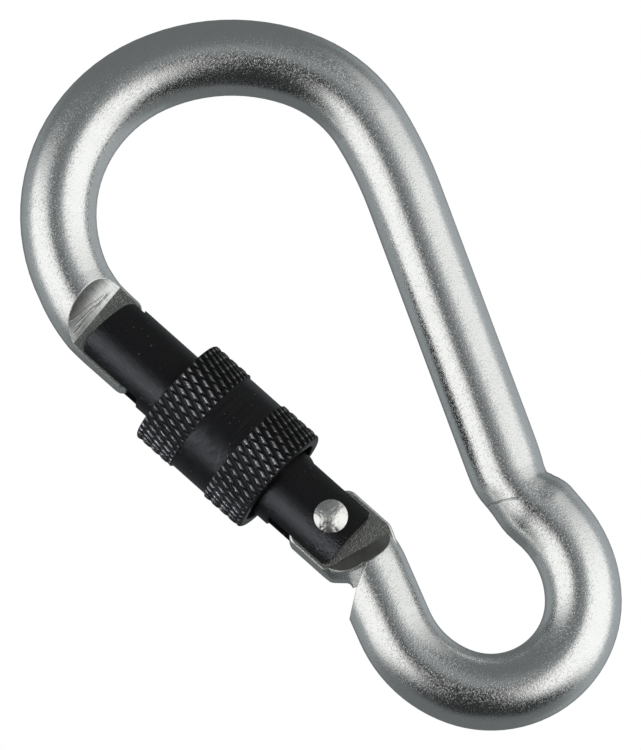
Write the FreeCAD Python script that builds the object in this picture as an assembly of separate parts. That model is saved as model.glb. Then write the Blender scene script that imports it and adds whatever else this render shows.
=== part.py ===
import FreeCAD, Part
import math
import os

# Screw-lock accessory carabiner, about 80 mm long, bent from 7.7 mm round bar.
# Millimetres. The carabiner lies flat in the XY plane: Z is its thickness, +Y runs along the closed
# gate from the hinge to the nose, and +X points from the gate across the eye to the spine.
# The shapes are first built with the hinge at X = Y = 0 and then moved so that the origin is the
# centre of the whole carabiner's box.

V = FreeCAD.Vector

# Frame: round bar bent in one plane, followed from the nose round the large bow to the hinge.
# Each bend is its radius and its turn in degrees.
bar_radius = 3.83
nose_start_y = 29.2
nose_bend = (16.4, 46.2)
bow_bends = ((15.7, 67.1), (19.7, 43.9), (14.0, 39.3), (40.4, 11.35))
spine_length = 30.13
pinch_bend = (7.4, 34.3)
hook_bends = ((11.55, 53.95), (9.2, 110.1), (11.15, 46.9))
neck_length = 5.9
neck_bend = (8.0, 24.65)
neck_end_length = 3.5

# Where the spine meets the hook the bar is squeezed thinner in its plane, creased on its outer side,
# and swells again just past the crease. Each is how deep, how far past the end of the spine, and how
# long.
eye_squeeze = (0.46, 2.15, 1.55)
outer_squeeze = (0.2, 1.3, 1.9)
outer_crease = (0.14, 2.25, 0.62)
outer_swell = (0.18, 5.3, 0.95)
pinch_before = 6.0
pinch_after = 9.0
pinch_section_count = 34

# The metal is folded on the inner side of the squeeze in a fine slanting line.
fold_width = 0.13
fold_depth = 0.14
fold_slope = -43.0
fold_start_ahead = 1.0
fold_start_shift = 0.6

# Nose: the bar widens slightly, then is milled flat on both faces to a tongue.
nose_half_width = 4.18
nose_widening_turn = 22.0
tongue_half_thickness = 1.7
tongue_shoulder_y = 31.3
tongue_shoulder_tilt = 2.7
tongue_start_y = 21.0

# Plan of the nose, each corner as X, Y and its rounding: a long outer tip, a slope up to a shorter
# inner side, and above the shoulder wide enough to leave the bar whole.
nose_corners = (
    (-3.87, 24.0, 1.3),
    (-1.6, 24.0, 1.6),
    (3.98, 28.7, 1.5),
    (4.12, 31.8, 0),
    (4.36, 32.8, 0),
    (4.8, 33.9, 0),
    (6.5, 43.0, 0),
    (-5.5, 43.0, 0),
    (-3.92, 31.9, 0),
)

# Hinge tang: the other end of the bar, flattened to the same thickness.
tang_top_y = 2.35
edge_round = 0.25
tang_shoulder_middle = (0.24, -4.21)
tang_shoulder_tilt = -17.4

# Plan of the tang: a square land for the plunger at its end, and a relieved outer side at the neck.
tang_corners = (
    (-3.95, tang_top_y, 1.2),
    (2.25, tang_top_y, 0.5),
    (4.05, 0.5, 1.3),
    (4.05, -4.7, 1.2),
    (2.0, -8.6, 0.6),
    (-2.6, -9.6, 0.6),
    (-3.3, -6.7, 0.5),
    (-2.75, -5.35, 0.6),
    (-3.95, -3.95, 0.8),
)
# What is cut away outside the tang; it leaves the hook's pointed shoulder.
neck_corners = (
    (-5.5, -7.85, 0),
    (-3.3, -6.7, 0.5),
    (-2.75, -5.35, 0.6),
    (-3.95, -3.95, 0.8),
    (-3.95, tang_top_y, 0),
    (-12.0, tang_top_y, 0),
    (-12.0, -7.85, 0),
)

# Scoop on the outer side of the neck, above and below: a cone about the tang's rounded corner that
# ends at a straight wall.
scoop_centre = (-0.3, -1.9)
scoop_base_radius = 4.95
scoop_top_radius = 3.6
scoop_corners = (
    (-8.0, -1.9, 0),
    (-3.0, -1.9, 0),
    (-0.75, -4.5, 0),
    (-0.75, -5.8, 0),
    (-3.3, -6.7, 0),
    (-8.0, -8.35, 0),
)

# Sloped run-outs where the flats meet the round bar: how long they are, how far they rise past the
# bar's surface, and how far along and how high their bulge lies, as shares of the whole.
run_out_length = 2.7
tang_run_out_length = 1.9
run_out_overrise = 0.6
run_out_bulge = (0.62, 0.42)

# Gate: a round rod slotted at both ends.
gate_radius = 3.93
gate_top_outer_y = 30.5
gate_top_inner_y = 29.5
gate_bottom_y = -2.85
cheek_corner = 1.7
slot_half_width = 1.8
hinge_slot_y = 4.8

# Floors of the two slots seen in plan, from the outer to the inner side, each point as X and Y. The
# nose slot's floor follows the tongue; the hinge slot's runs out towards the gate's middle on the
# inner side.
nose_slot_floor = ((-6.0, 22.4), (-3.93, 22.4), (-1.6, 23.65), (3.3, 27.75), (3.7, 28.05), (6.0, 28.05))
hinge_slot_floor = ((-6.0, hinge_slot_y), (3.35, hinge_slot_y), (3.95, 6.0), (6.0, 9.0))

# Hinge rivet, set slightly towards the eye.
hinge_x = 0.35
rivet_radius = 1.2
rivet_hole_clearance = 0.05
head_radius = 1.72
head_seat_z = 3.45
head_edge_z = 3.95
head_crown_z = 4.42

# Closing spring and plunger in a blind bore up the gate's axis.
spring_bore_radius = 1.6
spring_bore_top_y = 13.5
plunger_radius = 1.52
plunger_head_length = 2.6
plunger_stem_radius = 0.62
plunger_travel = 0.85
wire_radius = 0.2
coil_radius = 1.2
coil_turns = 8

# Locking sleeve, screwed along the gate.
sleeve_radius = 6.05
sleeve_bottom_y = 6.5
sleeve_top_y = 20.5
sleeve_bore_radius = 4.0
nose_recess_radius = 4.55
nose_recess_depth = 7.6
hinge_recess_radius = 4.85
hinge_recess_depth = 1.1
band_groove_radius = 5.8
band_groove_bottom_y = 11.35
band_groove_top_y = 15.85
rim_round = 0.55

# Far enough to pass right through the bar, and how far a cutter starts outside what it cuts.
reach = 12.0
overshoot = 1.0


def heading_vector(degrees):
    return V(math.cos(math.radians(degrees)), math.sin(math.radians(degrees)), 0)


def bend_edge(point, heading, radius, turn):
    """Arc tangent to heading; a positive turn goes left. Returns the edge, its end and new heading."""
    side = 90 if turn > 0 else -90
    centre = point + heading_vector(heading + side) * radius
    middle = centre + heading_vector(heading - side + turn / 2) * radius
    end = centre + heading_vector(heading - side + turn) * radius
    return Part.Arc(point, middle, end).toShape(), end, heading + turn


def round_face(point, heading):
    """Disc of the bar's section, square to the heading."""
    return Part.Face(Part.Wire(Part.makeCircle(bar_radius, point, heading_vector(heading))))


def rounded_outline(corners):
    """Closed wire in the XY plane through (x, y, radius) corners, each rounded with a tangent arc."""
    edges = []
    count = len(corners)
    joints = []
    for i in range(count):
        x, y, radius = corners[i]
        here = V(x, y, 0)
        before = V(corners[i - 1][0], corners[i - 1][1], 0)
        after = V(corners[(i + 1) % count][0], corners[(i + 1) % count][1], 0)
        back = (before - here).normalize()
        ahead = (after - here).normalize()
        half = back.getAngle(ahead) / 2
        if radius == 0:
            joints.append((here, None, here))
            continue
        cut = radius / math.tan(half)
        bisector = (back + ahead).normalize()
        centre = here + bisector * (radius / math.sin(half))
        joints.append((here + back * cut, centre - bisector * radius, here + ahead * cut))
    for i in range(count):
        start, middle, end = joints[i]
        if middle is not None:
            edges.append(Part.Arc(start, middle, end).toShape())
        edges.append(Part.LineSegment(end, joints[(i + 1) % count][0]).toShape())
    return Part.Wire(edges)


def plate(corners, low_z, high_z):
    """Flat plate of a rounded outline between two heights."""
    face = Part.Face(rounded_outline(corners))
    face.translate(V(0, 0, low_z))
    return face.extrude(V(0, 0, high_z - low_z))


def soft_plate(corners, half_thickness):
    """Flat plate with its outline's edges just rounded."""
    sharp = plate(corners, -half_thickness, half_thickness)
    rims = [edge for edge in sharp.Edges if edge.BoundBox.ZLength < half_thickness]
    return sharp.makeFillet(edge_round, rims)


def flat_cutters(middle, tilt, length, towards_nose):
    """Two cutters that mill the bar flat above and below the tongue or tang, up to a shoulder line.

    The shoulder line passes through middle, turned by tilt from X. The cut slopes out of the bar
    over length, first gently and then steeply."""
    rise = bar_radius + run_out_overrise - tongue_half_thickness
    bulge_along, bulge_up = run_out_bulge
    sign = 1 if towards_nose else -1
    start = V(0, 0, tongue_half_thickness)
    bulge = V(0, sign * length * bulge_along, tongue_half_thickness + rise * bulge_up)
    top = V(0, sign * length, tongue_half_thickness + rise)
    far = -sign * 3 * reach
    edges = [
        Part.Arc(start, bulge, top).toShape(),
        Part.LineSegment(top, V(0, far, top.z)).toShape(),
        Part.LineSegment(V(0, far, top.z), V(0, far, start.z)).toShape(),
        Part.LineSegment(V(0, far, start.z), start).toShape(),
    ]
    profile = Part.Face(Part.Wire(edges))
    profile.translate(V(-reach, 0, 0))
    upper = profile.extrude(V(2 * reach, 0, 0))
    upper.rotate(V(0, 0, 0), V(0, 0, 1), tilt)
    upper.translate(V(middle[0], middle[1], 0))
    lower = upper.mirror(V(0, 0, 0), V(0, 0, 1))
    return upper, lower


def nose_bar():
    """Oval, widened end of the bar, blending into the round bar along the first bend."""
    start = V(0, nose_start_y, 0)
    arc, end, _ = bend_edge(start, 90, nose_bend[0], -nose_widening_turn)
    oval = Part.Ellipse(V(0, 0, 0), nose_half_width, bar_radius).toShape()
    oval = Part.Wire(oval)
    oval.rotate(V(0, 0, 0), V(1, 0, 0), 90)
    straight_oval = oval.copy()
    straight_oval.translate(V(0, tongue_start_y, 0))
    straight = Part.Face(straight_oval).extrude(V(0, nose_start_y - tongue_start_y, 0))
    oval.translate(start)
    disc = Part.Wire(Part.Ellipse(V(0, 0, 0), bar_radius, bar_radius).toShape())
    disc.rotate(V(0, 0, 0), V(1, 0, 0), 90)
    disc.rotate(V(0, 0, 0), V(0, 0, 1), -nose_widening_turn)
    disc.translate(end)
    blend = Part.Wire(arc).makePipeShell([oval, disc], True, False)
    return straight.fuse(blend)


def swell(size, distance):
    """How far a local change of the section reaches at a distance along the bar."""
    depth, middle, length = size
    return depth * math.exp(-(((distance - middle) / length) ** 2))


def pinch_place(spine_end, heading, distance):
    """Point of the bar's axis and its heading, at a distance past the end of the spine."""
    if distance <= 0:
        return spine_end + heading_vector(heading) * distance, heading
    radius, turn = pinch_bend
    bend_length = radius * math.radians(turn)
    share = min(distance / bend_length, 1)
    _, point, heading = bend_edge(spine_end, heading, radius, turn * share)
    if distance > bend_length:
        radius = hook_bends[0][0]
        turn = math.degrees((distance - bend_length) / radius)
        _, point, heading = bend_edge(point, heading, radius, -turn)
    return point, heading


def pinch(spine_end, heading, skin):
    """The squeezed stretch of the bar, or what is left of it inside a skin of that thickness."""
    sections = []
    for i in range(pinch_section_count):
        distance = -pinch_before + (pinch_before + pinch_after) * i / (pinch_section_count - 1)
        point, here = pinch_place(spine_end, heading, distance)
        eye_half = bar_radius - swell(eye_squeeze, distance)
        thinning = swell(outer_squeeze, distance) + swell(outer_crease, distance)
        outer_half = bar_radius - thinning + swell(outer_swell, distance)
        section = Part.Wire(Part.makeCircle(bar_radius - skin, V(0, 0, 0), V(0, 1, 0)))
        stretch = FreeCAD.Matrix()
        stretch.scale(((eye_half + outer_half) / 2 - skin) / (bar_radius - skin), 1, 1)
        section = section.transformGeometry(stretch)
        section.translate(V((outer_half - eye_half) / 2, 0, 0))
        section.rotate(V(0, 0, 0), V(0, 0, 1), here + 90)
        section.translate(point)
        sections.append(section)
    return Part.makeLoft(sections, True, False)


def fold_cutter(middle, heading, core):
    """Thin slanting slab over the inner half of the bar, kept out of the bar's core."""
    towards_eye = heading_vector(heading - 90)
    slab = Part.makeBox(reach, fold_width, 2 * reach, V(-reach, -fold_width / 2, -reach))
    slab.rotate(V(0, 0, 0), V(0, 0, 1), fold_slope)
    slab.translate(middle + heading_vector(heading) * fold_start_ahead + towards_eye * fold_start_shift)
    return slab.cut(core)


def swept_bar(point, heading, edges):
    """The round bar along tangent edges, from point."""
    path = Part.Wire(edges)
    bar = path.makePipe(round_face(point, heading))
    print("bar volume", round(bar.Volume, 1), "of", round(math.pi * bar_radius**2 * path.Length, 1))
    return bar


def round_bar():
    """The round bar from the nose blend to the hinge neck, with its pinch."""
    _, first_point, first_heading = bend_edge(
        V(0, nose_start_y, 0), 90, nose_bend[0], -nose_widening_turn
    )
    point = first_point
    heading = first_heading
    bends = [(nose_bend[0], nose_widening_turn - nose_bend[1])]
    bends += [(radius, -turn) for radius, turn in bow_bends]
    edges = []
    for radius, turn in bends:
        edge, point, heading = bend_edge(point, heading, radius, turn)
        edges.append(edge)
    spine_end = point + heading_vector(heading) * spine_length
    spine_heading = heading
    pinch_start, _ = pinch_place(spine_end, spine_heading, -pinch_before)
    edges.append(Part.LineSegment(point, pinch_start).toShape())
    bow = swept_bar(first_point, first_heading, edges)

    pinch_end, end_heading = pinch_place(spine_end, spine_heading, pinch_after)
    point = pinch_end
    heading = end_heading
    bends = [(radius, -turn) for radius, turn in hook_bends]
    bends[0] = (bends[0][0], spine_heading + pinch_bend[1] - hook_bends[0][1] - end_heading)
    edges = []
    for radius, turn in bends:
        edge, point, heading = bend_edge(point, heading, radius, turn)
        edges.append(edge)
    neck_end = point + heading_vector(heading) * neck_length
    edges.append(Part.LineSegment(point, neck_end).toShape())
    edge, point, heading = bend_edge(neck_end, heading, neck_bend[0], neck_bend[1])
    edges.append(edge)
    tang_end = point + heading_vector(heading) * neck_end_length
    edges.append(Part.LineSegment(point, tang_end).toShape())
    hook = swept_bar(pinch_end, end_heading, edges)

    squeezed = pinch(spine_end, spine_heading, 0)
    core = pinch(spine_end, spine_heading, fold_depth)
    middle, heading = pinch_place(spine_end, spine_heading, math.radians(pinch_bend[1]) * pinch_bend[0] / 2)
    squeezed = squeezed.cut(fold_cutter(middle, heading, core))
    return bow.fuse([squeezed, hook])


def scoop_cutters():
    """What the scoop takes off the upper and the lower side of the neck."""
    area = plate(scoop_corners, 0, reach)
    middle = V(scoop_centre[0], scoop_centre[1], 0)
    cone = Part.makeCone(scoop_base_radius, scoop_top_radius, tongue_half_thickness, middle)
    above = middle + V(0, 0, tongue_half_thickness)
    post = Part.makeCylinder(scoop_top_radius, reach, above)
    upper = area.cut([cone, post])
    lower = upper.mirror(V(0, 0, 0), V(0, 0, 1))
    return [upper, lower]


def frame_body():
    nose = nose_bar()
    for cutter in flat_cutters((0.2, tongue_shoulder_y), tongue_shoulder_tilt, run_out_length, True):
        nose = nose.cut(cutter)
    nose = nose.common(plate(nose_corners, -reach, reach))
    bar = round_bar()
    bar = bar.cut(plate(neck_corners, -reach, reach))
    for cutter in flat_cutters(tang_shoulder_middle, tang_shoulder_tilt, tang_run_out_length, False):
        bar = bar.cut(cutter)
    tang = soft_plate(tang_corners, tongue_half_thickness)
    hole = Part.makeCylinder(
        rivet_radius + rivet_hole_clearance, 2 * reach, V(hinge_x, 0, -reach), V(0, 0, 1)
    )
    body = bar.fuse([tang, nose]).cut([hole] + scoop_cutters())
    return body.removeSplitter()


def slot_cutter(floor, open_y):
    """Slot across the gate, from its floor out past the gate's end."""
    outline = [(x, y, 0) for x, y in floor]
    outline += [(floor[-1][0], open_y, 0), (floor[0][0], open_y, 0)]
    return plate(outline, -slot_half_width, slot_half_width)


def gate_barrel():
    length = gate_top_outer_y - gate_bottom_y
    rod = Part.makeCylinder(gate_radius, length, V(0, gate_bottom_y, 0), V(0, 1, 0))
    # Seen in plan the rod's ends have softened corners, and the nose end slants a little.
    cheeks = plate(
        [
            (-gate_radius, gate_bottom_y, cheek_corner),
            (gate_radius, gate_bottom_y, cheek_corner),
            (gate_radius, gate_top_inner_y, cheek_corner),
            (-gate_radius, gate_top_outer_y, cheek_corner),
        ],
        -reach,
        reach,
    )
    rod = rod.common(cheeks)
    nose_slot = slot_cutter(nose_slot_floor, gate_top_outer_y + overshoot)
    hinge_slot = slot_cutter(hinge_slot_floor, gate_bottom_y - overshoot)
    bore_start_y = hinge_slot_y - overshoot
    spring_bore = Part.makeCylinder(
        spring_bore_radius, spring_bore_top_y - bore_start_y, V(0, bore_start_y, 0), V(0, 1, 0)
    )
    rivet_hole = Part.makeCylinder(rivet_radius, 2 * reach, V(hinge_x, 0, -reach), V(0, 0, 1))
    cuts = [nose_slot, hinge_slot, spring_bore, rivet_hole]
    for side in (1, -1):
        cuts.append(
            Part.makeCylinder(head_radius, reach, V(hinge_x, 0, side * head_seat_z), V(0, 0, side))
        )
    return rod.cut(cuts)


def hinge_rivet():
    """Headed pin, as a turned profile: flat under each head, a short edge and a low dome."""
    dome_rise = head_crown_z - head_edge_z
    dome_radius = (head_radius**2 + dome_rise**2) / (2 * dome_rise)
    dome_centre = head_crown_z - dome_radius
    middle_x = head_radius / 2
    middle_z = dome_centre + math.sqrt(dome_radius**2 - middle_x**2)
    edges = [
        Part.LineSegment(V(0, 0, 0), V(rivet_radius, 0, 0)).toShape(),
        Part.LineSegment(V(rivet_radius, 0, 0), V(rivet_radius, 0, head_seat_z)).toShape(),
        Part.LineSegment(V(rivet_radius, 0, head_seat_z), V(head_radius, 0, head_seat_z)).toShape(),
        Part.LineSegment(V(head_radius, 0, head_seat_z), V(head_radius, 0, head_edge_z)).toShape(),
        Part.Arc(V(head_radius, 0, head_edge_z), V(middle_x, 0, middle_z), V(0, 0, head_crown_z)).toShape(),
        Part.LineSegment(V(0, 0, head_crown_z), V(0, 0, 0)).toShape(),
    ]
    half = Part.Face(Part.Wire(edges)).revolve(V(0, 0, 0), V(0, 0, 1), 360)
    other = half.mirror(V(0, 0, 0), V(0, 0, 1))
    rivet = half.fuse(other).removeSplitter()
    rivet.translate(V(hinge_x, 0, 0))
    return rivet


def spring_plunger():
    """Headed plunger: its flat face bears on the tang's land and its stem guides the spring."""
    head = Part.makeCylinder(plunger_radius, plunger_head_length, V(0, tang_top_y, 0), V(0, 1, 0))
    stem_y = tang_top_y + plunger_head_length
    stem_length = spring_bore_top_y - plunger_travel - stem_y
    stem = Part.makeCylinder(plunger_stem_radius, stem_length, V(0, stem_y, 0), V(0, 1, 0))
    return head.fuse(stem).removeSplitter()


def closing_spring():
    """Compression coil between the plunger's head and the bore's blind end."""
    low = tang_top_y + plunger_head_length + wire_radius
    high = spring_bore_top_y - wire_radius
    helix = Part.makeHelix((high - low) / coil_turns, high - low, coil_radius)
    section = Part.Wire(Part.makeCircle(wire_radius, V(coil_radius, 0, 0), V(0, 1, 0)))
    coil = Part.Wire(helix).makePipeShell([section], True, True)
    coil.rotate(V(0, 0, 0), V(1, 0, 0), -90)
    coil.translate(V(0, low, 0))
    return coil


def locking_sleeve():
    length = sleeve_top_y - sleeve_bottom_y
    outer = Part.makeCylinder(sleeve_radius, length, V(0, sleeve_bottom_y, 0), V(0, 1, 0))
    rims = [edge for edge in outer.Edges if edge.Closed]
    outer = outer.makeFillet(rim_round, rims)
    groove_length = band_groove_top_y - band_groove_bottom_y
    groove = Part.makeCylinder(reach, groove_length, V(0, band_groove_bottom_y, 0), V(0, 1, 0))
    groove = groove.cut(
        Part.makeCylinder(band_groove_radius, groove_length, V(0, band_groove_bottom_y, 0), V(0, 1, 0))
    )
    bore = Part.makeCylinder(sleeve_bore_radius, length, V(0, sleeve_bottom_y, 0), V(0, 1, 0))
    nose_recess = Part.makeCylinder(
        nose_recess_radius, nose_recess_depth, V(0, sleeve_top_y - nose_recess_depth, 0), V(0, 1, 0)
    )
    hinge_recess = Part.makeCylinder(
        hinge_recess_radius, hinge_recess_depth, V(0, sleeve_bottom_y, 0), V(0, 1, 0)
    )
    return outer.cut([groove, bore, nose_recess, hinge_recess])


nodes = {
    "frame_body": frame_body(),
    "gate_barrel": gate_barrel(),
    "hinge_rivet": hinge_rivet(),
    "spring_plunger": spring_plunger(),
    "closing_spring": closing_spring(),
    "locking_sleeve": locking_sleeve(),
}
box = FreeCAD.BoundBox()
for shape in nodes.values():
    box.add(shape.optimalBoundingBox(False, False))
centre = box.Center
print("box", round(box.XLength, 3), round(box.YLength, 3), round(box.ZLength, 3))
print("hinge axis at", round(hinge_x - centre.x, 3), round(-centre.y, 3))
print("gate axis at", round(-centre.x, 3))
os.makedirs("parts", exist_ok=True)
for name, shape in nodes.items():
    shape.translate(V(-centre.x, -centre.y, 0))
    print(name, "valid", shape.isValid(), "solids", len(shape.Solids), "volume", round(shape.Volume, 1))
    shape.exportStep("parts/" + name + ".step")
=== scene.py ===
import math

import bpy
import numpy as np
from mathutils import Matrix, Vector


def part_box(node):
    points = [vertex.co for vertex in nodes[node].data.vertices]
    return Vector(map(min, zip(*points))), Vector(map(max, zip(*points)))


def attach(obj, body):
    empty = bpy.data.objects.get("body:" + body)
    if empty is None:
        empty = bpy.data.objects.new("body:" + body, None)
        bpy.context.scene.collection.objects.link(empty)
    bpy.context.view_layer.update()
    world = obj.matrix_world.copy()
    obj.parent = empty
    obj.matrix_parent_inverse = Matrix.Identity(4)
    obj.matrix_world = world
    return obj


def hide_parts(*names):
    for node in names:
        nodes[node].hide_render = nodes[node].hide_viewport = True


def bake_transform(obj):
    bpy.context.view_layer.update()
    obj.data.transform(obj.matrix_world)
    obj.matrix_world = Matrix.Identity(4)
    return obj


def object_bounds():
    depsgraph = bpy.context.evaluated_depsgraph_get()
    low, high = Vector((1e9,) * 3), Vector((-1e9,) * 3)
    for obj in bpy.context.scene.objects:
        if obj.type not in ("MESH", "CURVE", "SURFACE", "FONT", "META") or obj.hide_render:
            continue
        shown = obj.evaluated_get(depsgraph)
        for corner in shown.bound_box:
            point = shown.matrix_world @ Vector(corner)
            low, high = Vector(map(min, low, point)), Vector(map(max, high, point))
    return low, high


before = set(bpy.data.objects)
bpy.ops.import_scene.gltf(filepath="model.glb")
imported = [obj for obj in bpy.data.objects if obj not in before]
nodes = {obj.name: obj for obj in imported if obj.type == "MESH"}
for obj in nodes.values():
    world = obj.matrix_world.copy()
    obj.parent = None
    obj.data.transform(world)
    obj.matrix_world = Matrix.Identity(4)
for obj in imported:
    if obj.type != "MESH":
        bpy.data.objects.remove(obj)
cad_low, cad_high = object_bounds()

MM = 0.001


# ---------------------------------------------------------------- camera

VIEW_AZIMUTH = 312.15
VIEW_ELEVATION = 78.87
VIEW_HEIGHT = 74.91 * MM
LOOK_AT = Vector((-3.886 * MM, 1.323 * MM, 0.0))
LENS = 650.0
SENSOR = 36.0
NEAR_SHARE = 0.05
FAR_SHARE = 20


def view_axes(azimuth, elevation):
    """Unit vectors to the right, up and back towards a viewer at that azimuth and elevation."""
    a = math.radians(azimuth)
    e = math.radians(elevation)
    back = Vector((math.sin(a) * math.cos(e), -math.cos(a) * math.cos(e), math.sin(e)))
    right = Vector((math.cos(a), math.sin(a), 0.0))
    return right, back.cross(right), back


RIGHT, UP, BACK = view_axes(VIEW_AZIMUTH, VIEW_ELEVATION)


def make_camera():
    """Camera high over the flat of the carabiner, far off with a long lens."""
    data = bpy.data.cameras.new("camera")
    camera = bpy.data.objects.new("camera", data)
    bpy.context.scene.collection.objects.link(camera)
    data.lens = LENS
    data.sensor_width = SENSOR
    distance = VIEW_HEIGHT * LENS / SENSOR
    camera.location = LOOK_AT + BACK * distance
    camera.rotation_mode = "QUATERNION"
    camera.rotation_quaternion = (-BACK).to_track_quat("-Z", "Y")
    data.clip_start = distance * NEAR_SHARE
    data.clip_end = distance * FAR_SHARE
    bpy.context.scene.camera = camera


# ---------------------------------------------------------------- node helpers

# Places of the Mix node's sockets when it mixes colours.
MIX_FACTOR, MIX_A, MIX_B = 0, 6, 7
MIX_RESULT = 2


class Nodes:
    """Short calls for building a node tree. A value is a number, a tuple or another node's output."""

    def __init__(self, tree):
        self.tree = tree
        tree.nodes.clear()

    def add(self, kind, **inputs):
        node = self.tree.nodes.new(kind)
        for name, value in inputs.items():
            self.put(node, name.replace("_", " "), value)
        return node

    def put(self, node, key, value):
        """Sets or links one input, by its name or its place."""
        socket = node.inputs[key]
        if isinstance(value, bpy.types.NodeSocket):
            self.tree.links.new(value, socket)
        else:
            socket.default_value = value

    def math(self, operation, a, b=0.0):
        node = self.tree.nodes.new("ShaderNodeMath")
        node.operation = operation
        self.put(node, 0, a)
        self.put(node, 1, b)
        return node.outputs[0]

    def plus(self, a, b):
        return self.math("ADD", a, b)

    def minus(self, a, b):
        return self.math("SUBTRACT", a, b)

    def times(self, first, *others):
        product = first
        for value in others:
            product = self.math("MULTIPLY", product, value)
        return product

    def vector_math(self, operation, vector, other):
        node = self.tree.nodes.new("ShaderNodeVectorMath")
        node.operation = operation
        self.put(node, 0, vector)
        self.put(node, 1, tuple(other))
        return node

    def dot(self, vector, direction):
        return self.vector_math("DOT_PRODUCT", vector, direction).outputs["Value"]

    def stretch(self, vector, factors):
        return self.vector_math("MULTIPLY", vector, factors).outputs["Vector"]

    def axes(self, vector):
        return self.add("ShaderNodeSeparateXYZ", Vector=vector).outputs

    def step(self, value, low, high, from_low=0.0, to_high=1.0):
        """Smooth step of value from low to high; low above high makes it fall."""
        node = self.tree.nodes.new("ShaderNodeMapRange")
        node.interpolation_type = "SMOOTHSTEP"
        self.put(node, "Value", value)
        if low <= high:
            ends = (low, high, from_low, to_high)
        else:
            ends = (high, low, to_high, from_low)
        for name, end in zip(("From Min", "From Max", "To Min", "To Max"), ends):
            self.put(node, name, end)
        return node.outputs["Result"]

    def past(self, value, edge, softness):
        """Rises from 0 to 1 where value passes the edge."""
        return self.step(value, edge - softness, edge + softness)

    def short_of(self, value, edge, softness):
        """Falls from 1 to 0 where value passes the edge."""
        return self.step(value, edge + softness, edge - softness)

    def within(self, value, low, high, softness):
        return self.times(self.past(value, low, softness), self.short_of(value, high, softness))

    def noise(self, vector, scale, detail, roughness):
        inputs = {"Vector": vector, "Scale": scale, "Detail": detail, "Roughness": roughness}
        return self.add("ShaderNodeTexNoise", **inputs).outputs["Fac"]

    def mix(self, factor, a, b):
        """Colour a where factor is 0 and b where it is 1."""
        node = self.tree.nodes.new("ShaderNodeMix")
        node.data_type = "RGBA"
        self.put(node, MIX_FACTOR, factor)
        for key, colour in ((MIX_A, a), (MIX_B, b)):
            linked = isinstance(colour, bpy.types.NodeSocket)
            self.put(node, key, colour if linked else (*colour, 1.0))
        return node.outputs[MIX_RESULT]

    def bump(self, height, normal):
        """Normal bumped by a height in millimetres."""
        inputs = {"Height": height, "Distance": 1.0 * MM, "Strength": 1.0, "Normal": normal}
        return self.add("ShaderNodeBump", **inputs).outputs["Normal"]


# ---------------------------------------------------------------- studio

# Patches of the room round the object. Left and right are degrees round to the camera's right, 0 at
# the camera itself; bottom and top are degrees up. Each edge is a (place, softness), and the round
# values bow a side inwards with the square of the height.
RIGHT_BOX = {"left": (9, 6), "right": (96, 7), "bottom": (-32, 11), "top": (47, 27)}
RIGHT_BOX["round_left"] = 0.015
LEFT_BOX = {"left": (-93, 8), "right": (-25, 7), "bottom": (-25, 11), "top": (29, 11)}
LEFT_BOX["round_right"] = 0.024
GAP = {"left": (-32, 10), "right": (16, 8), "bottom": (-60, 15), "top": (12, 8)}
BELOW = {"left": (-75, 18), "right": (80, 18), "bottom": (-76, 8), "top": (-36, 10)}
RIGHT_WALL = {"left": (94, 6), "right": (160, 12), "bottom": (-40, 16), "top": (42, 16)}
LEFT_WALL = {"left": (-150, 12), "right": (-94, 6), "bottom": (-26, 10), "top": (26, 10)}
OVERHEAD = {"left": (-6, 8), "right": (24, 8), "bottom": (17, 8), "top": (38, 12)}
LIT_PATCHES = ((RIGHT_WALL, 0.24), (OVERHEAD, 0.1), (LEFT_WALL, 0.15))
ROOM_LEVEL = 0.15
ROOM_TINT = (0.94, 1.02, 1.05)
SHADE_DEPTH = 0.85
BOX_LEVEL = 0.94
BOX_TINT = (1.006, 1.0, 0.98)


def make_studio():
    """World light: a large soft box on each side, dark between and below them, a dim room behind."""
    world = bpy.data.worlds.new("studio")
    bpy.context.scene.world = world
    world.use_nodes = True
    n = Nodes(world.node_tree)
    direction = n.add("ShaderNodeTexCoord").outputs["Generated"]
    right, up, back = [n.dot(direction, axis) for axis in (RIGHT, UP, BACK)]
    across = n.times(n.math("ARCTAN2", right, back), 180 / math.pi)
    rise = n.times(n.math("ARCSINE", up), 180 / math.pi)
    bow = n.times(rise, rise)

    def patch(left, right, bottom, top, round_left=0.0, round_right=0.0):
        """Mask of one soft-edged patch of the room."""
        sides = n.times(
            n.past(n.minus(across, n.times(bow, round_left)), *left),
            n.short_of(n.plus(across, n.times(bow, round_right)), *right),
        )
        return n.times(sides, n.past(rise, *bottom), n.short_of(rise, *top))

    shade = n.math("MAXIMUM", patch(**GAP), patch(**BELOW))
    room = n.times(n.minus(1.0, n.times(shade, SHADE_DEPTH)), ROOM_LEVEL)
    for edges, level in LIT_PATCHES:
        room = n.plus(room, n.times(patch(**edges), level))
    boxes = n.times(n.plus(patch(**RIGHT_BOX), patch(**LEFT_BOX)), BOX_LEVEL)
    red, green, blue = [
        n.plus(n.times(room, room_tint), n.times(boxes, box_tint))
        for room_tint, box_tint in zip(ROOM_TINT, BOX_TINT)
    ]
    colour = n.add("ShaderNodeCombineColor", Red=red, Green=green, Blue=blue).outputs[0]
    background = n.add("ShaderNodeBackground", Color=colour, Strength=1.0)
    n.add("ShaderNodeOutputWorld", Surface=background.outputs[0])


KEY_DIRECTION = Vector((-0.84, 0.13, 0.53)).normalized()
KEY_DISTANCE = 1.5
KEY_SIZE = 0.5
KEY_POWER = 14.0
KEY_TINT = (0.93, 0.97, 1.06)


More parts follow.
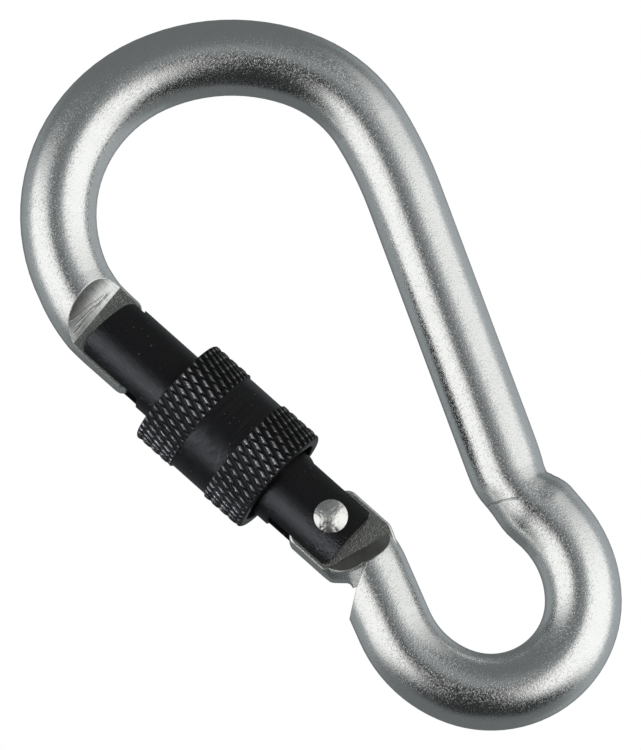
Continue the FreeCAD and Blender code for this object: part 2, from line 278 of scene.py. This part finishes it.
def make_key_light(receivers):
    """Soft lamp from the outer side that lifts the black pieces only."""
    data = bpy.data.lights.new("key", "AREA")
    data.shape = "SQUARE"
    data.size = KEY_SIZE
    data.energy = KEY_POWER
    data.color = KEY_TINT
    key = bpy.data.objects.new("key", data)
    bpy.context.scene.collection.objects.link(key)
    key.location = KEY_DIRECTION * KEY_DISTANCE
    key.rotation_mode = "QUATERNION"
    key.rotation_quaternion = KEY_DIRECTION.to_track_quat("Z", "Y")
    group = bpy.data.collections.new("black_pieces")
    for obj in receivers:
        group.objects.link(obj)
    key.light_linking.receiver_collection = group


# The backdrop stands beyond every camera of the view tool and within their clipping distance.
BACKDROP_RADIUS = 2.3
BACKDROP_SEGMENTS = 48
BACKDROP_RINGS = 24
FLOOR_SIZE = 8.0
FLOOR_GAP = 0.02 * MM


def set_stage(name, material):
    """Makes the newest mesh a stage piece that is seen but neither lights nor shades the object."""
    obj = bpy.context.object
    obj.name = name
    obj.data.materials.append(material)
    obj.visible_glossy = False
    obj.visible_diffuse = False
    obj.visible_shadow = False
    obj.visible_transmission = False


def make_stage():
    """Plain white floor under the carabiner, and a plain white wall all round far off."""
    material = bpy.data.materials.new("stage_white")
    material.use_nodes = True
    n = Nodes(material.node_tree)
    emission = n.add("ShaderNodeEmission", Color=(1, 1, 1, 1), Strength=1.0)
    n.add("ShaderNodeOutputMaterial", Surface=emission.outputs[0])
    bpy.ops.mesh.primitive_plane_add(size=FLOOR_SIZE, location=(0, 0, cad_low.z - FLOOR_GAP))
    set_stage("floor", material)
    bpy.ops.mesh.primitive_uv_sphere_add(
        radius=BACKDROP_RADIUS, segments=BACKDROP_SEGMENTS, ring_count=BACKDROP_RINGS
    )
    set_stage("backdrop", material)


# ---------------------------------------------------------------- materials

# Lengths, heights and edge radii are in millimetres. A noise is its (scale, detail, roughness).

BEVEL_SAMPLES = 6


def surface(name, edge_radius):
    """New material: itself, its nodes, principled surface, place in millimetres, softened normal."""
    material = bpy.data.materials.new(name)
    material.use_nodes = True
    n = Nodes(material.node_tree)
    shader = n.add("ShaderNodeBsdfPrincipled")
    n.add("ShaderNodeOutputMaterial", Surface=shader.outputs[0])
    place = n.stretch(n.add("ShaderNodeTexCoord").outputs["Object"], (1 / MM, 1 / MM, 1 / MM))
    bevel = n.add("ShaderNodeBevel", Radius=edge_radius * MM)
    bevel.samples = BEVEL_SAMPLES
    return material, n, shader, place, bevel.outputs["Normal"]


# The milled run-outs by the gate: their span in X, the distance from the middle plane where they
# start, how far a surface on them leans along Y, and how far it may turn from their shoulder line.
RUN_OUT_X = (-18.9, -10.4)
RUN_OUT_START = (1.5, 1.7)
RUN_OUT_LEAN = (0.1, 0.2)
RUN_OUT_TURN = (0.16, 0.08)
RUN_OUT_SOFTNESS = 0.1
# Each run-out's span in Y, the way it leans, and its shoulder's tilt from X in plan, in degrees.
NOSE_RUN_OUT = {"span": (21.4, 25.6), "way": -1, "tilt": 2.7}
HINGE_RUN_OUT = {"span": (-15.9, -12.6), "way": 1, "tilt": -17.4}
RUN_OUT_SMOOTHING = 0.8
RUN_OUT_ROUGHNESS = 0.12

# The flats of the nose and the tang: how square they face Z, and how far they are from the middle.
FLAT_FACING = (0.985, 0.998)
FLAT_REACH = (1.95, 1.85)
# Painted shade: the flats' colour is darkened to this grey, in place of the dark they reflect; their
# finer grain is their own.
FLAT_PAINTED_SHADE = (0.24, 0.24, 0.215)
FLAT_PAINTED_SHADE_SHARE = 0.85

GRAIN_NOISE = (5.0, 3.0, 0.7)
GRAIN_STEP = (0.46, 0.86)
GRAIN_HEIGHT = 0.016
FLAT_GRAIN_HEIGHT = 0.014
BLOTCH_NOISE = (0.7, 2.0, 0.5)
BLASTED_TONES = ((0.82, 0.825, 0.82), (0.90, 0.905, 0.895))
FLECK_NOISE = (8.0, 1.0, 0.5)
FLECK_STEP = (0.3, 0.7)
BLASTED_ROUGHNESS = (0.16, 0.28)
BLASTED_EDGE = 0.18

# Milling lines over the nose's run-out, and the comb of cutter marks between them.
LINE_STRETCH = (6.5, 0.35, 0.35)
LINE_NOISE = (1.0, 3.0, 0.7)
LINE_STEP = (0.35, 0.65)
LINE_HEIGHT = 0.05
LINE_TONES = ((0.8, 0.81, 0.8), (1.0, 1.0, 0.99))
COMB_PER_MM = 2.8
COMB_WANDER = 1.5
COMB_DEPTH = 0.08
# Painted shade: where the nose's run-out leans furthest its colour is darkened to grey.
STEEP_SHADE_LEAN = (-0.5, -0.82)
STEEP_PAINTED_SHADE = (0.12, 0.125, 0.12)
STEEP_PAINTED_SHADE_SHARE = 0.75
NOSE_MATT = 0.25
# Painted shade: the hinge's run-out is darkened to these greys, which blotches vary at random.
HINGE_PAINTED_SHADE_TONES = ((0.19, 0.195, 0.18), (0.4, 0.405, 0.39))
HINGE_MATT = 0.5

# Long scratches on the nose's run-out: where they start in Y and how they slope, both over X, their
# ends in X and their half width.
NOSE_SCRATCHES = (
    (23.0, 0.05, -17.2, -12.4, 0.09),
    (21.69, -0.05, -16.6, -12.0, 0.1),
    (21.0, -0.125, -16.9, -12.8, 0.08),
)
SCRATCH_DEPTH = 0.05
SCRATCH_FADE = 0.4
WANDER_NOISE = (0.6, 1.0, 0.5)
WANDER_WIDTH = 0.35


def run_out_mask(n, place, facing, span, way, tilt):
    """Mask of one milled run-out."""
    x, y, z = n.axes(place)
    lean_low, lean_high = RUN_OUT_LEAN
    angle = math.radians(tilt)
    aside = n.math("ABSOLUTE", n.dot(facing, (math.cos(angle), math.sin(angle), 0.0)))
    return n.times(
        n.within(y, *span, RUN_OUT_SOFTNESS),
        n.step(n.axes(facing)["Y"], way * lean_low, way * lean_high),
        n.step(aside, *RUN_OUT_TURN),
        n.within(x, *RUN_OUT_X, RUN_OUT_SOFTNESS),
        n.step(n.math("ABSOLUTE", z), *RUN_OUT_START),
    )


def nose_marks(n, place, lines):
    """Height of the marks on the nose's run-out: its milling lines, comb and scratches."""
    x, y, _ = n.axes(place)
    height = n.times(lines, LINE_HEIGHT)
    comb = n.math("FRACT", n.plus(n.times(x, COMB_PER_MM), n.times(lines, COMB_WANDER)))
    height = n.minus(height, n.times(comb, COMB_DEPTH))
    wander = n.times(n.minus(n.noise(place, *WANDER_NOISE), 0.5), WANDER_WIDTH)
    for start, slope, low, high, width in NOSE_SCRATCHES:
        line = n.plus(n.times(x, slope), start)
        away = n.math("ABSOLUTE", n.plus(n.minus(y, line), wander))
        groove = n.times(n.step(away, width, width / 3), n.within(x, low, high, SCRATCH_FADE))
        height = n.minus(height, n.times(groove, SCRATCH_DEPTH))
    return height


def blasted_aluminium():
    """Bead-blasted and tumbled aluminium: fine sparkling grain, grainy flats, milled run-outs, with
    painted shade on the flats, on the hinge's run-out and where the nose's run-out leans furthest.
    """
    material, n, shader, place, soft_normal = surface("blasted_aluminium", BLASTED_EDGE)
    facing = n.add("ShaderNodeTexCoord").outputs["Normal"]
    flat = n.times(
        n.step(n.math("ABSOLUTE", n.axes(facing)["Z"]), *FLAT_FACING),
        n.step(n.math("ABSOLUTE", n.axes(place)["Z"]), *FLAT_REACH),
    )
    nose = run_out_mask(n, place, facing, **NOSE_RUN_OUT)
    hinge = run_out_mask(n, place, facing, **HINGE_RUN_OUT)
    milled = n.math("MAXIMUM", nose, hinge)

    grain_height = n.plus(n.times(flat, FLAT_GRAIN_HEIGHT), GRAIN_HEIGHT)
    height = n.times(n.step(n.noise(place, *GRAIN_NOISE), *GRAIN_STEP), grain_height)
    height = n.times(height, n.minus(1.0, n.times(milled, RUN_OUT_SMOOTHING)))
    lines = n.noise(n.stretch(place, LINE_STRETCH), *LINE_NOISE)
    height = n.plus(height, n.times(nose_marks(n, place, lines), nose))

    blotches = n.noise(place, *BLOTCH_NOISE)
    tone_and_shade = n.mix(blotches, *BLASTED_TONES)
    # Painted shade: the flats are darkened to grey.
    tone_and_shade = n.mix(n.times(flat, FLAT_PAINTED_SHADE_SHARE), tone_and_shade, FLAT_PAINTED_SHADE)
    # Painted shade: the hinge's run-out is darkened.
    tone_and_shade = n.mix(hinge, tone_and_shade, n.mix(blotches, *HINGE_PAINTED_SHADE_TONES))
    streaks_and_shade = n.mix(n.step(lines, *LINE_STEP), *LINE_TONES)
    # Painted shade: the milling streaks are darkened where the nose's run-out leans furthest.
    steep_shade = n.step(n.axes(facing)["Y"], *STEEP_SHADE_LEAN)
    streaks_and_shade = n.mix(n.times(steep_shade, STEEP_PAINTED_SHADE_SHARE), streaks_and_shade, STEEP_PAINTED_SHADE)
    n.put(shader, "Base Color", n.mix(nose, tone_and_shade, streaks_and_shade))
    matt = n.plus(n.times(nose, NOSE_MATT), n.times(hinge, HINGE_MATT))
    n.put(shader, "Metallic", n.minus(1.0, matt))
    satin = n.step(n.noise(place, *FLECK_NOISE), *FLECK_STEP, *BLASTED_ROUGHNESS)
    n.put(shader, "Roughness", n.plus(satin, n.times(milled, RUN_OUT_ROUGHNESS)))
    n.put(shader, "Normal", n.bump(height, soft_normal))
    return material


BLACK = (0.0055, 0.0055, 0.0065)
BLACK_ROUGHNESS = 0.22
BLACK_SHINE = 0.2
BLACK_GRAIN_NOISE = (6.0, 3.0, 0.7)
BLACK_GRAIN_HEIGHT = 0.05
BLACK_EDGE = 0.1
DUST = (0.05, 0.05, 0.05)
DUST_NOISE = (3.1, 0.0, 0.5)
DUST_STEP = (0.80, 0.84)
TURNED_STRETCH = (0.12, 4.0, 0.12)
TURNED_NOISE = (1.0, 4.0, 0.7)
TURNED_GRAIN_SHARE = 0.4
TURNED_HEIGHT = 0.09
# The knurl's crests are worn shiny, from this far below its outside to this far.
WORN_BELOW = 0.16
WORN_ABOVE = 0.04
WORN_SHINE = 2.2
VALLEY_SHINE = BLACK_SHINE * 0.8


def black_anodised(name, brushed=False, crests=None):
    """Black anodised aluminium, finely blasted.

    Brushed leaves turning lines round the Y axis. Crests is the knurl's (axis x, radius) in
    millimetres: what stands near that radius is worn shinier."""
    material, n, shader, place, soft_normal = surface(name, BLACK_EDGE)
    height = n.times(n.noise(place, *BLACK_GRAIN_NOISE), BLACK_GRAIN_HEIGHT)
    if brushed:
        lines = n.noise(n.stretch(place, TURNED_STRETCH), *TURNED_NOISE)
        height = n.plus(n.times(height, TURNED_GRAIN_SHARE), n.times(lines, TURNED_HEIGHT))
    dust = n.step(n.noise(place, *DUST_NOISE), *DUST_STEP)
    n.put(shader, "Base Color", n.mix(dust, BLACK, DUST))
    n.put(shader, "Metallic", 0.0)
    n.put(shader, "Roughness", BLACK_ROUGHNESS)
    n.put(shader, "Specular IOR Level", BLACK_SHINE)
    if crests is not None:
        axis_x, radius = crests
        x, _, z = n.axes(place)
        aside = n.minus(x, axis_x)
        out = n.math("SQRT", n.plus(n.times(aside, aside), n.times(z, z)))
        worn = n.step(out, radius - WORN_BELOW, radius - WORN_ABOVE)
        n.put(shader, "Specular IOR Level", n.plus(n.times(worn, WORN_SHINE), VALLEY_SHINE))
    n.put(shader, "Normal", n.bump(height, soft_normal))
    return material


STEEL = (0.86, 0.85, 0.83, 1)
STEEL_EDGE = 0.12
MARK_NOISE = (1.1, 2.0, 0.5)
MARK_STEP = (0.35, 0.65)
MARK_HEIGHT = 0.15
STEEL_ROUGHNESS = (0.2, 0.36)


def polished_steel():
    """Steel polished by handling, with shallow hammered marks."""
    material, n, shader, place, soft_normal = surface("polished_steel", STEEL_EDGE)
    marks = n.noise(place, *MARK_NOISE)
    n.put(shader, "Base Color", STEEL)
    n.put(shader, "Metallic", 1.0)
    n.put(shader, "Roughness", n.step(marks, *MARK_STEP, *STEEL_ROUGHNESS))
    n.put(shader, "Normal", n.bump(n.times(marks, MARK_HEIGHT), soft_normal))
    return material


def dress(mesh, material):
    """Gives a mesh that one material."""
    mesh.materials.clear()
    mesh.materials.append(material)


# ---------------------------------------------------------------- locking sleeve

KNURL_COUNT = 42
KNURL_PERIOD = 2.3
KNURL_DEPTH = 0.3
RIDGE_SHARPNESS = 1.15
CROSS_SHARE = 0.9
CROSS_HALF_WIDTH = 0.27
SLEEVE_BORE = 4.0
# Radius and depth of the recess at each end of the bore.
NOSE_RECESS = (4.55, 7.6)
HINGE_RECESS = (4.85, 1.1)
RECESS_CHAMFER = 0.1
# Radius of the plain band between the knurls, and where it begins and ends along the sleeve.
BAND = (5.8, 4.85, 9.35)
BAND_CHAMFER = 0.1
BAND_WALL = 0.02
BAND_RINGS = 9
# Radii of the rounded rims, and the rings that round each of them.
HINGE_RIM = 0.55
NOSE_RIM = 0.35
RIM_RINGS = 9
RING_SPACING = 0.07
AROUND = 840
SHARP_ANGLE = 40


def knurl_cut(turn, along):
    """Share of the knurl's depth cut away: round ridges along one slant, notched along the other."""
    phase = turn * KNURL_COUNT + along / KNURL_PERIOD
    away = np.abs(phase - np.round(phase))
    ridges = 1 - (2 * away) ** RIDGE_SHARPNESS
    phase = turn * KNURL_COUNT - along / KNURL_PERIOD
    away = np.abs(phase - np.round(phase))
    notches = np.clip(1 - away / CROSS_HALF_WIDTH, 0, 1) * CROSS_SHARE
    return np.maximum(ridges, notches)


def sleeve_profile(length, radius):
    """Rings round the sleeve's wall, outside then bore: (distance along, radius, knurled or not)."""
    rim = [(1 - math.sin(a), 1 - math.cos(a)) for a in np.linspace(0, math.pi / 2, RIM_RINGS)[::-1]]
    band_radius, band_low, band_high = BAND
    low_knurl = np.arange(HINGE_RIM + RING_SPACING, band_low - BAND_CHAMFER, RING_SPACING)
    high_knurl = np.arange(band_high + BAND_CHAMFER, length - NOSE_RIM, RING_SPACING)
    band = np.linspace(band_low + BAND_CHAMFER, band_high - BAND_CHAMFER, BAND_RINGS)
    rings = [(HINGE_RIM * near, radius - HINGE_RIM * far, True) for near, far in rim]
    rings += [(along, radius, True) for along in (*low_knurl, band_low - BAND_CHAMFER)]
    rings.append((band_low, radius - BAND_CHAMFER, True))
    for along in (band_low + BAND_WALL, *band, band_high - BAND_WALL):
        rings.append((along, band_radius, False))
    rings.append((band_high, radius - BAND_CHAMFER, True))
    rings += [(along, radius, True) for along in high_knurl]
    rings += [(length - NOSE_RIM * far, radius - NOSE_RIM * near, True) for near, far in rim]

    nose_radius, nose_depth = NOSE_RECESS
    hinge_radius, hinge_depth = HINGE_RECESS
    bore = (
        (length, nose_radius + RECESS_CHAMFER),
        (length - RECESS_CHAMFER, nose_radius),
        (length - nose_depth, nose_radius),
        (length - nose_depth, SLEEVE_BORE),
        (hinge_depth, SLEEVE_BORE),
        (hinge_depth, hinge_radius),
        (RECESS_CHAMFER, hinge_radius),
        (0.0, hinge_radius + RECESS_CHAMFER),
    )
    return rings + [(along, ring_radius, False) for along, ring_radius in bore]


def sleeve_mesh(low, high):
    """Mesh of the sleeve between two corners, and which of its faces are on the knurl."""
    axis_x = (low.x + high.x) / 2
    radius = (high.x - low.x) / 2 / MM
    rings = sleeve_profile((high.y - low.y) / MM, radius)
    turn = np.arange(AROUND) / AROUND
    points = []
    for along, ring_radius, knurled in rings:
        r = np.full(AROUND, ring_radius)
        if knurled:
            r = np.minimum(r, radius - KNURL_DEPTH * knurl_cut(turn, along))
        x = axis_x + r * MM * np.cos(turn * 2 * math.pi)
        z = r * MM * np.sin(turn * 2 * math.pi)
        points.append(np.stack([x, np.full(AROUND, low.y + along * MM), z], 1))
    count = len(rings)
    i, j = np.meshgrid(np.arange(count), np.arange(AROUND), indexing="ij")
    next_i = (i + 1) % count
    next_j = (j + 1) % AROUND
    corners = ((i, j), (next_i, j), (next_i, next_j), (i, next_j))
    faces = np.stack([ring * AROUND + place for ring, place in corners], -1)
    mesh = bpy.data.meshes.new("knurled_sleeve")
    mesh.from_pydata(np.concatenate(points).tolist(), [], faces.reshape(-1, 4).tolist())
    mesh.validate()
    mesh.shade_smooth()
    mesh.set_sharp_from_angle(angle=math.radians(SHARP_ANGLE))
    on_knurl = [int(rings[k][2] and rings[(k + 1) % count][2]) for k in range(count)]
    return mesh, np.repeat(on_knurl, AROUND).astype(np.int32)


def make_sleeve():
    """Locking sleeve with its cut knurl, in place of the plain one."""
    low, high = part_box("locking_sleeve")
    mesh, on_knurl = sleeve_mesh(low, high)
    axis_and_radius = ((low.x + high.x) / 2 / MM, (high.x - low.x) / 2 / MM)
    mesh.materials.append(black_anodised("black_anodised_turned", brushed=True))
    mesh.materials.append(black_anodised("black_anodised_knurl", crests=axis_and_radius))
    mesh.polygons.foreach_set("material_index", on_knurl)
    sleeve = bpy.data.objects.new("knurled_sleeve", mesh)
    bpy.context.scene.collection.objects.link(sleeve)
    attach(sleeve, "sleeve")
    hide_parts("locking_sleeve")
    return sleeve


# ---------------------------------------------------------------- closing spring


def make_spring(material):
    """Copy of the closing spring, in the CAD spring's place and shape between the gate and its
    plunger.
    """
    cad = nodes["closing_spring"]
    mesh = cad.data.copy()
    mesh.name = "coil_spring"
    dress(mesh, material)
    coil = bpy.data.objects.new("coil_spring", mesh)
    bpy.context.scene.collection.objects.link(coil)
    coil.matrix_world = cad.matrix_world
    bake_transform(coil)
    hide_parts("closing_spring")


# ---------------------------------------------------------------- assembly

bpy.context.scene.view_settings.view_transform = "Standard"
make_camera()
make_studio()
make_stage()
steel = polished_steel()
dress(nodes["frame_body"].data, blasted_aluminium())
dress(nodes["gate_barrel"].data, black_anodised("black_anodised_gate"))
dress(nodes["hinge_rivet"].data, steel)
dress(nodes["spring_plunger"].data, steel)
make_spring(steel)
sleeve = make_sleeve()
make_key_light([sleeve, nodes["gate_barrel"]])
